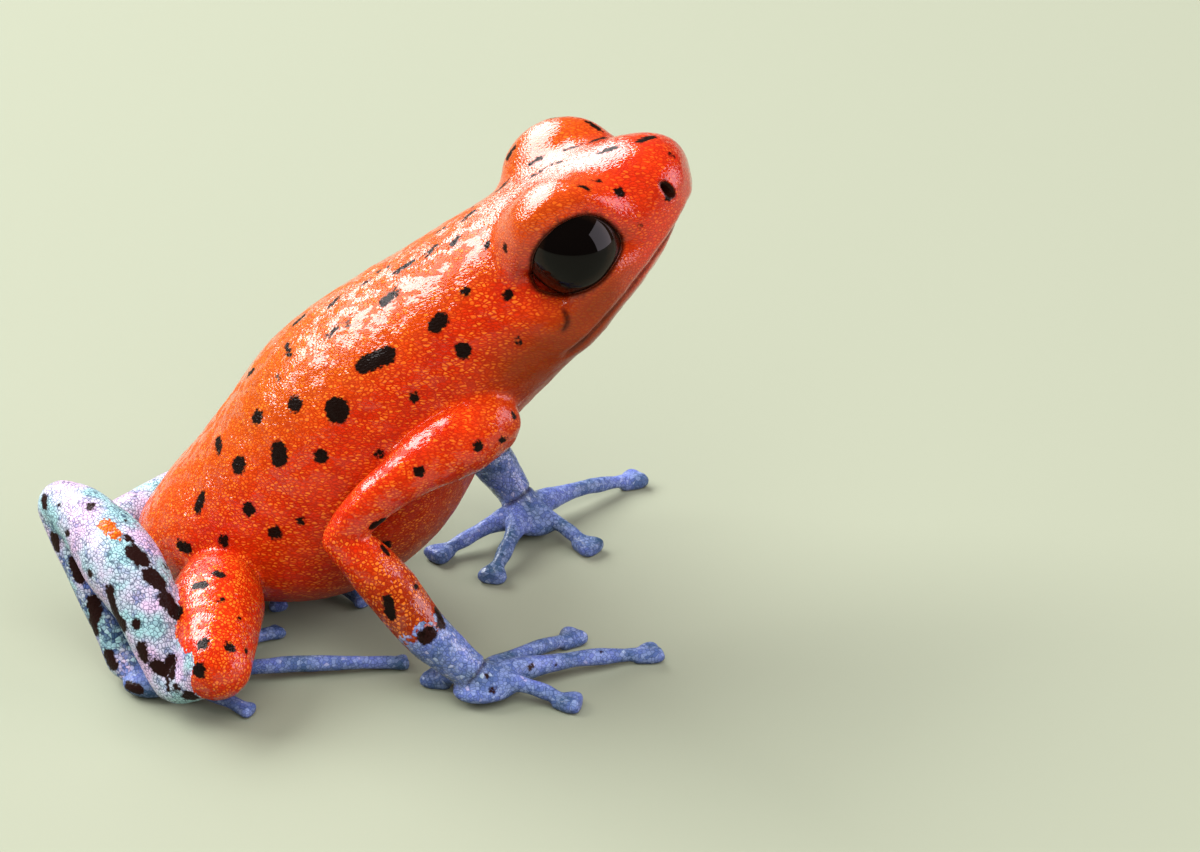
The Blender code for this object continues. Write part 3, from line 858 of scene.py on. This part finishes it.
def out_of_view(place, normal):
    """True if the camera can't see this place on the skin, nor its spot across the outline."""
    way = (EYE_POINT - place).normalized()
    facing = normal.dot(way)
    if abs(facing) < EDGE_OF_VIEW:
        return False
    return facing < 0 or skin_tree.ray_cast(place + way * 0.05, way)[0] is not None


def stays_bare(place, normal):
    """True on the belly, the throat and the near side of the head, near the floor and the eyes."""
    belly = normal.z < -0.35 and abs(place.y) < 3.4
    under_head = place.x > 4.5 and (normal.z < 0 or place.y < 0.3)
    at_eye = min((place - mirrored(EYE_AT, side)).length for side in SIDES) < BARE_ROUND_EYE
    return belly or under_head or at_eye or place.z < BARE_AT_FLOOR


def crowded(place, others, spacing):
    return any((place - other[0]).length < spacing for other in others)


def strewn_spots(points, normals, seed=7):
    draw = random.Random(seed)
    made = []
    for i in draw.sample(range(len(points)), PLACES_TRIED):
        place, normal = Vector(points[i]), Vector(normals[i])
        if stays_bare(place, normal) or not out_of_view(place, normal):
            continue
        if crowded(place, made, SPOT_SPACING) or crowded(place, spots, SPOT_SPACING * 0.8):
            continue
        along = Vector([draw.uniform(-1, 1) for _ in range(3)]) * draw.choice(SPOT_LENGTHS)
        made.append((place, place + along, draw.uniform(*SPOT_RADII)))
    return made


spots += strewn_spots(skin_points, normals_of(skin.data))
print(len(spots), "spots in all")

# %% [markdown]
# ## What each part of the skin is painted by
#
# Eight numbers are stored at each point of the skin. "spot" is the distance in millimetres to
# the nearest spot's edge, and the others run from 0 to 1: "blue" from orange-red to blue-grey,
# "limb" from fine grains to coarse, "pale" from bare blue to pale grains, and "back" from the
# belly to the back, while the last three mark the painted shade in creases and pits, the trunk's
# folded skin, and the browner painted shade on the cheeks and neck. The finish reads them, adds
# its own noise and so gets edges as crisp and ragged as the real ones.

# %% Distances to spots and limbs
def distance_to_segment(points, start, end):
    start, end = np.array(start), np.array(end)
    way = end - start
    share = np.clip((points - start) @ way / max(way @ way, 1e-9), 0, 1)
    return np.linalg.norm(points - start - share[:, None] * way, axis=1), share


SPOT_REACH = 2.5


def spot_distance(points):
    nearest = np.full(len(points), FAR)
    for start, end, radius in spots:
        close = distance_from(points, start) < SPOT_REACH
        distance, _ = distance_to_segment(points[close], start, end)
        nearest[close] = np.minimum(nearest[close], distance - radius)
    return nearest


def from_limb(points, side, name, start=0.0, end=1.0):
    """How far points are from a limb's surface, for the part of its length from start to end."""
    knots, radii = spline(limb_routes(side)[name], 25), spline(GIRTHS[name], 25)[:, 0]
    steps = np.linalg.norm(np.diff(knots, axis=0), axis=1)
    along = np.concatenate([[0], np.cumsum(steps)]) / steps.sum()
    found = np.full(len(points), FAR)
    for i in range(len(steps)):
        if along[i] < start - 0.01 or along[i + 1] > end + 0.01:
            continue
        distance, share = distance_to_segment(points, knots[i], knots[i + 1])
        radius = radii[i] + share * (radii[i + 1] - radii[i])
        found = np.minimum(found, np.abs(distance - radius))
    return found


# %% Where the skin is blue, coarse-grained or pale
# How far down the forearm the blue begins, and the size of a digit's blue
BLUE_FROM = 0.64
DIGIT_HEIGHT, DIGIT_REACH = 0.25, 0.45


def blueness(points):
    """0 on the trunk, upper arms and thighs, 1 on the lower forearms, hands, shanks and feet."""
    trunk_points, trunk_faces = trunk()
    trunk_tree = BVHTree.FromPolygons([Vector(p) for p in trunk_points], trunk_faces)
    red = [np.array([trunk_tree.find_nearest(Vector(p))[3] for p in points])]
    blue = []
    for side in SIDES:
        red.append(distance_from(points, BULGE_AT[side]) / 4)
        red += [from_limb(points, side, name) for name in ("upper_arm", "thigh")]
        red.append(from_limb(points, side, "forearm", end=BLUE_FROM))
        blue += [from_limb(points, side, name) for name in ("shank", "tarsus")]
        blue.append(from_limb(points, side, "forearm", start=BLUE_FROM))
        for limb, root in ((ARMS[side], "palm"), (LEGS[side], "sole")):
            for tip in limb["tips"]:
                distance, _ = distance_to_segment(points, limb[root], (*tip, DIGIT_HEIGHT))
                blue.append(np.abs(distance - DIGIT_REACH))
    found = ramp(np.minimum.reduce(red) - np.minimum.reduce(blue), -0.12, 0.12)
    for patches, share in ((BLUE_PATCHES, 1.0), (ORANGE_PATCHES, 0.15)):
        for start, end, radius in [spot_on_skin(patch) for patch in patches]:
            distance, _ = distance_to_segment(points, start, end)
            found += (share - found) * (1 - ramp(distance - radius, -0.06, 0.10))
    return found


COARSE_SHARES = {"upper_arm": 0.3, "forearm": 1.0, "thigh": 1.0, "shank": 1.0, "tarsus": 1.0}
PALE_SHARES = {"shank": 1.0, "tarsus": 0.6, "forearm": 0.12}


def on_limbs(points, shares, start, end):
    """Each limb's share on its own skin, fading from start to end away from it."""
    found = np.zeros(len(points))
    for side in SIDES:
        for name, share in shares.items():
            found = np.maximum(found, share * (1 - ramp(from_limb(points, side, name), start, end)))
    return found


def limbness(points):
    """1 on the forearms and legs, whose grains are coarser, and 0 on the body and head."""
    return on_limbs(points, COARSE_SHARES, 0.05, 0.30)


def paleness(points):
    """1 on the shanks, where pale grains almost cover the blue, and less towards the feet."""
    found = on_limbs(points, PALE_SHARES, 0.1, 0.5)
    for start, end, radius in [spot_on_skin(patch) for patch in BLUE_PATCHES]:
        distance, _ = distance_to_segment(points, start, end)
        found = np.maximum(found, 1 - ramp(distance - radius, 0.0, 0.3))
    return found


# %% Painted shade in the creases and cheeks, the folds and the back
def crease_shading(points):
    """1 where shade is painted dark into creases and pits: in the mouth, the nostrils, the edge of
    the lids, the front edge of the eardrum and the fold at the wrist."""
    above, mask = from_mouth(points)
    found = [0.75 * mask * bell(above, 0.07)]
    for side in SIDES:
        beyond, _, _, w = beyond_lids(points, side)
        found.append(np.where(w > 0, 0.9 * (1 - ramp(beyond, 0.04, 0.16)), 0))
        found.append(1 - ramp(from_nostril(points, side), 1.05, 1.45))
        ear = mirrored(EAR_AT, side)
        ring = bell(distance_from(points, ear) - 0.36, 0.10)
        found.append(0.9 * ring * ramp(points[:, 0] - ear.x, 0.08, 0.25))
        found.append(0.7 * wrist_fold(points, side))
    return np.maximum.reduce(found)


def past_neck(points):
    """How far points are ahead of the neck, along the body."""
    return (points - np.array((4.0, 0, 11.0))) @ np.array((0.75, 0, 0.66))


def foldedness(points):
    """1 on the trunk, whose wet skin lies in fine folds, and 0 on the smooth head."""
    return 1 - ramp(past_neck(points), 1.2, 3.0)


def cheek_shading(points):
    """1 on the cheeks and the neck, which get painted shade, browner, and a duller skin, fading towards the snout.
    """
    return ramp(past_neck(points), -1.8, 0.6) * (1 - ramp(points[:, 0], 7.8, 9.3))


def backness(points):
    """1 along the middle of the back, 0 along the belly, measured across the trunk's slope."""
    slope = 0.75
    over = np.array((-math.sin(slope), 0, math.cos(slope)))
    middle = np.array((0.5, 0, 7.5))
    return ramp((points - middle) @ over, -4.5, 4.5)


def store(mesh, name, values):
    layer = mesh.attributes.new(name, "FLOAT", "POINT")
    layer.data.foreach_set("value", values.astype(np.float32))


# %% Store the eight numbers
STORED = {
    "spot": spot_distance, "blue": blueness, "limb": limbness, "pale": paleness,
    "back": backness, "crease_shade": crease_shading, "folds": foldedness, "cheek_shade": cheek_shading,
}
for name, measure in STORED.items():
    values = measure(skin_points)
    store(skin.data, name, values)
    print(f"{name}: {values.min():.2f} to {values.max():.2f}, {values.mean():.2f} on average")
skin.data.shade_smooth()
skin.data.transform(TO_FRAME)
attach(skin, "root")
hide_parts(*[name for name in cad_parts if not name.startswith("eye")])

# %% [markdown]
# ## Finishes
#
# One function turns the sRGB hex values that a painter would pick into the linear numbers that
# Blender mixes, and one adds a node with its settings and links.

# %% Helpers for finishes
COLOURS = {"data_type": "RGBA"}
TIMES = {"operation": "MULTIPLY"}
LARGER = {"operation": "MAXIMUM"}


def linear(hex_colour):
    parts = [int(hex_colour[i : i + 2], 16) / 255 for i in (1, 3, 5)]
    return (*[p / 12.92 if p <= 0.04045 else ((p + 0.055) / 1.055) ** 2.4 for p in parts], 1.0)


def plug(tree, socket, value):
    """Gives a socket another socket's output, a number, a vector or a colour in sRGB hex."""
    if isinstance(value, bpy.types.NodeSocket):
        tree.links.new(value, socket)
    elif value is not None:
        socket.default_value = linear(value) if isinstance(value, str) else value


def add_node(tree, kind, *inputs, give=0, **settings):
    """Adds a node with its settings. The inputs go in by order, None leaves one alone, and what
    it gives is one of its output sockets."""
    node = tree.nodes.new("ShaderNode" + kind)
    for key, value in settings.items():
        setattr(node, key, value)
    for socket, value in zip([s for s in node.inputs if s.enabled], inputs):
        plug(tree, socket, value)
    return [s for s in node.outputs if s.enabled][give]


def set_inputs(node, **inputs):
    """Plugs in a node's inputs by name, with _ for the spaces."""
    for key, value in inputs.items():
        plug(node.id_data, node.inputs[key.replace("_", " ")], value)


def new_finish(name):
    """A material, its surface, and the function that adds a node to it."""
    material = bpy.data.materials.new(name)
    material.use_nodes = True
    return material, material.node_tree.nodes["Principled BSDF"], partial(add_node, material.node_tree)


# %% [markdown]
# ## The skin's finish
#
# The skin is granular. Its grains are 0.05 to 0.1 mm wide, drawn 0.09 mm on the body and 0.12 mm
# on the limbs so that they show. Their tops are orange on the red ground and pale on the
# blue-grey, with thin dark gaps between them. Voronoi cells make the grains, at scales worked
# out from those sizes, with the coordinates in metres. The body's grains are longer along it
# than across, as they lie in faint rows.
#
# Over the grains lies a film of mucus, as smooth as glass, which gives the white highlights. It
# is a clear coat here, a little denser than water so that they come out as bright as the photo's.
# On the back it has ragged holes, which break the highlight up, and on the flanks it is thin.

# %% Frog skin
GRAIN, COARSE_GRAIN = 0.09 * MM, 0.12 * MM
# Wider than a grain: blotches of colour, crowds of like grains, and the skin's low folds
BLOTCH, CROWD, FOLD = 1.3 * MM, 0.40 * MM, 0.62 * MM
FRAY, FILM_HOLE = 0.11 * MM, 0.42 * MM
GRAIN_HEIGHT, FILM_HEIGHT = 0.020 * MM, 0.012 * MM
ROWS_PITCH, ROWS_STRETCH = HEAD_PITCH + 0.3, 0.48


def make_skin_finish():
    material, surface, add = new_finish("wet_granular_frog_skin")
    place = add("TexCoord", give=3)
    rows = add("Mapping", place, None, (0, ROWS_PITCH, 0), (ROWS_STRETCH, 1.0, 1.0))
    blotches = add("TexNoise", place, 1 / BLOTCH, 3.0)
    crowds = add("TexNoise", place, 1 / CROWD, 3.0)
    ragged = add("TexNoise", place, 1 / FRAY, 2.0)
    wrinkles = add("TexNoise", place, 1 / FOLD, 2.5)
    film = add("TexNoise", rows, 1 / FILM_HOLE, 4.0)
    fine = add("TexVoronoi", rows, 1 / GRAIN, feature="DISTANCE_TO_EDGE")
    fine_tint = add("SeparateColor", add("TexVoronoi", rows, 1 / GRAIN, give=1))
    coarse = add("TexVoronoi", place, 1 / COARSE_GRAIN, feature="DISTANCE_TO_EDGE")
    coarse_tint = add("SeparateColor", add("TexVoronoi", place, 1 / COARSE_GRAIN, give=1))
    spot, blue, limb, pale, topside, crease_shade, folds, cheek_shade = [
        add("Attribute", attribute_name=name, give=2) for name in STORED]
    top = add("Mix", limb, add("MapRange", fine, 0.0, 0.34), add("MapRange", coarse, 0.0, 0.30))
    tint = add("Mix", limb, fine_tint, coarse_tint)

    # The red ground is orange along the back, partly its own colour and partly a painted glow of
    # the light from behind. Shade is painted into it, brown on the lower cheeks and neck and dark on
    # the belly. Its gaps are darker, and some of its grains are orange: fewer on the head and next
    # to none in the painted shade of the cheeks.
    ground = add("Mix", add("MapRange", blotches, 0.38, 0.62), "#AE1D03", "#BC2A05", **COLOURS)
    # Orange along the back: partly its own colour, partly a painted glow of light from behind.
    ground = add("Mix", add("MapRange", topside, 0.68, 1.0), ground, "#A64E06", **COLOURS)
    # Painted shade, browner, on the lower cheeks and the neck.
    cheek_shade = add("Math", cheek_shade, add("MapRange", topside, 0.55, 0.34), **TIMES)
    ground = add("Mix", cheek_shade, ground, "#823004", **COLOURS)
    # Painted shade, darker, along the belly's underside.
    ground = add("Mix", add("MapRange", topside, 0.22, 0.0), ground, "#7E2606", **COLOURS)
    gaps = add("Math", add("MapRange", top, 0.60, 0.0), 0.55, **TIMES)
    red_skin = add("Mix", gaps, ground, "#7A1203", **COLOURS)
    bright = add("Math", tint, add("MapRange", crowds, 0.3, 0.7, -0.40, 0.30))
    fully_from = add("MapRange", limb, 0.3, 1.0, 0.90, 0.60)
    brightest = add("MapRange", folds, 0.0, 1.0, 0.38, 0.80)
    bright = add("MapRange", bright, 0.15, fully_from, 0.0, brightest)
    bright = add("Math", bright, add("MapRange", top, 0.30, 0.85), **TIMES)
    bright = add("Math", bright, add("MapRange", cheek_shade, 1.0, 0.2), **TIMES)
    red_skin = add("Mix", bright, red_skin, "#D26E1C", **COLOURS)

    # The blue-grey ground has pale grains, thick on the shank and missing on the hands.
    grain_blue = add("Mix", add("MapRange", blotches, 0.36, 0.64), "#324964", "#5966A6", **COLOURS)
    lighter = add("MapRange", coarse_tint, 0.2, 1.0, 0.0, 0.45)
    grain_blue = add("Mix", lighter, grain_blue, "#8C9CC0", **COLOURS)
    grain_pale = add("Mix", add("MapRange", blotches, 0.40, 0.60), "#8CB0B6", "#C0A4C2", **COLOURS)
    share = add("Math", coarse_tint, add("MapRange", crowds, 0.3, 0.7, -0.30, 0.30))
    share = add("Math", share, add("MapRange", pale, 0.0, 1.0, -0.85, 0.55))
    blue_skin = add("Mix", add("MapRange", share, 0.20, 0.80), grain_blue, grain_pale, **COLOURS)
    gap_width = add("MapRange", crowds, 0.35, 0.65, 0.20, 0.06)
    gap_depth = add("MapRange", pale, 0.0, 0.5, 0.50, 0.80)
    blue_gaps = add("MapRange", coarse, gap_width, 0.02, 0.0, gap_depth)
    blue_skin = add("Mix", blue_gaps, blue_skin, "#14233A", **COLOURS)

    # Where the two meet, whole grains are either one or the other.
    wander = add("Math", add("MapRange", crowds, 0.2, 0.8, -0.22, 0.22), blue)
    wander = add("Math", wander, add("MapRange", coarse_tint, 0.0, 1.0, -0.28, 0.28))
    is_blue = add("MapRange", wander, 0.44, 0.56)
    colour = add("Mix", is_blue, red_skin, blue_skin, **COLOURS)

    # Spots are black-brown, with edges frayed by the grains, and shade is painted dark into the creases.
    frayed = add("Math", add("MapRange", ragged, 0.2, 0.8, -0.06, 0.06), spot)
    frayed = add("Math", add("MapRange", tint, 0.0, 1.0, -0.03, 0.03), frayed)
    in_spot = add("MapRange", frayed, 0.035, -0.035)
    dark = add("Mix", is_blue, "#100604", "#1C0C0A", **COLOURS)
    colour = add("Mix", in_spot, colour, dark, **COLOURS)
    colour = add("Mix", crease_shade, colour, "#1C0703", **COLOURS)

    # The grains stand up a hundredth of a millimetre, and the film follows the folds as well.
    height = add("Math", top, add("MapRange", limb, 0.0, 1.0, 0.55, 0.70), **TIMES)
    rise = add("Math", wrinkles, add("MapRange", folds, 0.0, 1.0, 1.0, 7.0), **TIMES)
    film_height = add("Math", height, rise)

    # The film is broken on the back and thin on the flanks, cheeks, spots, creases and pale grains.
    hole = add("Math", film, add("MapRange", tint, 0.0, 1.0, -0.05, 0.05))
    hole = add("MapRange", hole, 0.51, 0.48, 0.0, 0.94)
    flank = add("MapRange", topside, 0.62, 0.50, 0.0, 0.75)
    flank = add("Math", flank, add("MapRange", limb, 0.0, 0.2, 1.0, 0.0), **TIMES)
    dry = add("Math", add("Math", hole, flank, **LARGER), folds, **TIMES)
    dry = add("Math", dry, add("Math", cheek_shade, 0.6, **TIMES), **LARGER)
    dry = add("Math", add("Math", in_spot, crease_shade, **LARGER), dry, **LARGER)
    wet = add("MapRange", dry, 0.0, 1.0, 1.0, 0.12)
    wet = add("Math", wet, add("MapRange", pale, 0.1, 1.0, 1.0, 0.5), **TIMES)
    set_inputs(
        surface, Base_Color=colour, Roughness=0.5, Specular_IOR_Level=0.03,
        Normal=add("Bump", 0.7, GRAIN_HEIGHT, None, height),
        Coat_Weight=wet, Coat_Roughness=0.03, Coat_IOR=1.55,
        Coat_Normal=add("Bump", 0.9, FILM_HEIGHT, None, film_height),
    )
    return material


skin.data.materials.clear()
skin.data.materials.append(make_skin_finish())

# %% [markdown]
# ## The eyes
#
# The eye is almost wholly black: a dark brown iris round a pupil that fills most of it, under
# a clear wet cornea that stands out a little. The ball is made with its pole where the frog
# looks, so both are rings round that pole. A thin dark edge of moist skin lines the opening.

# %% Eyeballs
CORNEA_LIFT, CORNEA_REACH = 0.025, 0.6
IRIS_FLECK = 0.12 * MM
EYE_ROWS, EYE_SIDES = 64, 96


def make_eye_finish():
    """A polished bead. Its reflection is fainter than water's, as in the photograph."""
    material, surface, add = new_finish("wet_black_eye")
    from_pole = add("Attribute", attribute_name="from_pole", give=2)
    mottle = add("TexNoise", add("TexCoord", give=3), 1 / IRIS_FLECK, 3.0)
    iris = add("MapRange", from_pole, 0.42, 0.50)
    iris = add("Math", iris, add("MapRange", mottle, 0.3, 0.7, 0.3, 1.0), **TIMES)
    colour = add("Mix", iris, "#040202", "#170B06", **COLOURS)
    set_inputs(surface, Base_Color=colour, Roughness=0.02, IOR=1.26)
    return material


def eyeball(side):
    axes = eye_axes(side)
    turns = around(EYE_SIDES)
    rings, from_pole = [], []
    for low in np.linspace(0.03, np.pi - 0.03, EYE_ROWS):
        ring = [np.cos(turns) * np.sin(low), np.sin(turns) * np.sin(low), np.full(EYE_SIDES, np.cos(low))]
        reach = EYE_RADIUS * (1 + CORNEA_LIFT * bell(low, CORNEA_REACH))
        rings.append(np.array(mirrored(EYE_AT, side)) + reach * np.stack(ring, 1) @ axes)
        from_pole += [low / (np.pi / 2)] * EYE_SIDES
    return finished_piece(f"eyeball_{side}", [closed_loft(rings)], {"from_pole": np.array(from_pole)})


def finished_piece(name, pieces, stored=None):
    """A smooth closed piece, in metres in the frame, with its faces turned outwards."""
    obj = joined(name, pieces)
    for layer, values in (stored or {}).items():
        store(obj.data, layer, values)
    bm = bmesh.new()
    bm.from_mesh(obj.data)
    bmesh.ops.recalc_face_normals(bm, faces=bm.faces)
    bm.to_mesh(obj.data)
    bm.free()
    obj.data.shade_smooth()
    obj.data.transform(TO_FRAME)
    return obj


eye_finish = make_eye_finish()
for side in SIDES:
    eye = eyeball(side)
    eye.data.materials.append(eye_finish)
    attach(eye, "root")
    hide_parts(f"eye_{side}")


# %% The moist edge of the lids
MARGIN_RADIUS = 0.035
MARGIN_STEPS = 160
MARGIN_FLECK = 0.10 * MM


def ring_tube(places, outward, radius, sides=12):
    """Vertices and faces of a tube that closes on itself."""
    count = len(places)
    ahead = np.roll(places, -1, 0) - np.roll(places, 1, 0)
    ahead /= np.linalg.norm(ahead, axis=1)[:, None]
    across = np.cross(ahead, outward)
    across /= np.linalg.norm(across, axis=1)[:, None]
    over = np.cross(across, ahead)
    turns = around(sides)
    points, faces = [], []
    for i in range(count):
        points += [tuple(p) for p in circle(places[i], radius, across[i], over[i], turns)]
        here, there = i * sides, (i + 1) % count * sides
        for j in range(sides):
            k = (j + 1) % sides
            faces.append((here + j, here + k, there + k, there + j))
    return points, faces


def lid_margin(side):
    axes = eye_axes(side)
    turns = np.linspace(-np.pi, np.pi, MARGIN_STEPS, endpoint=False)
    edge = edge_reach(turns)
    height = np.sqrt(np.maximum(EYE_RADIUS**2 - edge**2, 0.0))
    local = np.stack([edge * np.cos(turns), edge * np.sin(turns), height], 1)
    places = np.array(mirrored(EYE_AT, side)) + local @ axes
    return finished_piece(f"lid_margin_{side}", [ring_tube(places, local @ axes / EYE_RADIUS, MARGIN_RADIUS)])


def make_margin_finish():
    """Moist dark skin: smoother and wetter than the rest."""
    material, surface, add = new_finish("moist_lid_skin")
    mottle = add("TexNoise", add("TexCoord", give=3), 1 / MARGIN_FLECK, 3.0)
    set_inputs(surface, Base_Color=add("Mix", mottle, "#2A0C04", "#5A1A06", **COLOURS), Roughness=0.22, IOR=1.40)
    return material


margin_finish = make_margin_finish()
for side in SIDES:
    margin = lid_margin(side)
    margin.data.materials.append(margin_finish)
    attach(margin, "root")

# %% [markdown]
# ## Floor and light
#
# The floor is a plain pale card. The light is that of a small studio. A broad soft box above and
# behind the frog, on the left of the picture, draws the long white highlights on the back and
# arm, and a smaller one lower behind it draws the band along the head. A panel in front of the
# frog shows in the eye as a window does. A fill above the camera brightens the flank, and the
# surroundings are pale and dim.

# %% Floor
FLOOR_REACH = 0.9


def make_floor():
    """Pale matt card, wide enough to fill the picture."""
    corners = [(x * FLOOR_REACH, y * FLOOR_REACH, 0) for x, y in ((-1, -1), (1, -1), (1, 1), (-1, 1))]
    floor = joined("floor", [(corners, [(0, 1, 2, 3)])])
    material, surface, _ = new_finish("pale_card")
    set_inputs(surface, Base_Color="#7F8372", Roughness=0.9, Specular_IOR_Level=0.2)
    floor.data.materials.append(material)
    return floor


make_floor()


# %% Light
FROG_MIDDLE = Vector((0, 0, 0.008))


def soft_box(name, azimuth, elevation, distance, size, radiance, colour="#FFFFFF"):
    """A rectangular lamp, aimed at the frog from a direction in degrees at a distance in metres.
    Its power follows from how bright its face looks."""
    lamp = bpy.data.lights.new(name, "AREA")
    lamp.shape = "RECTANGLE"
    lamp.size, lamp.size_y = size
    lamp.energy = radiance * math.pi * size[0] * size[1]
    lamp.color = linear(colour)[:3]
    obj = placed(name, lamp)
    turn, rise = math.radians(azimuth), math.radians(elevation)
    way = Vector((math.cos(turn) * math.cos(rise), math.sin(turn) * math.cos(rise), math.sin(rise)))
    obj.location = FROG_MIDDLE + way * distance
    obj.rotation_euler = way.to_track_quat("Z", "Y").to_euler()
    return obj


soft_box("key_box", 155, 43, 0.35, (0.40, 0.24), 12.5)
soft_box("low_box", 117, 26, 0.40, (0.14, 0.21), 7.0)
soft_box("front_window", -1, 22, 0.30, (0.25, 0.25), 4.0, "#F4E8F4")
# The open sky lights a flank evenly, so the fill is kept out of reflections.
fill = soft_box("fill", -80, 52, 0.50, (0.50, 0.50), 5.8)
fill.visible_glossy = False

world = bpy.data.worlds.new("studio")
world.use_nodes = True
set_inputs(world.node_tree.nodes["Background"], Color="#ECEBCF", Strength=0.12)
bpy.context.scene.world = world
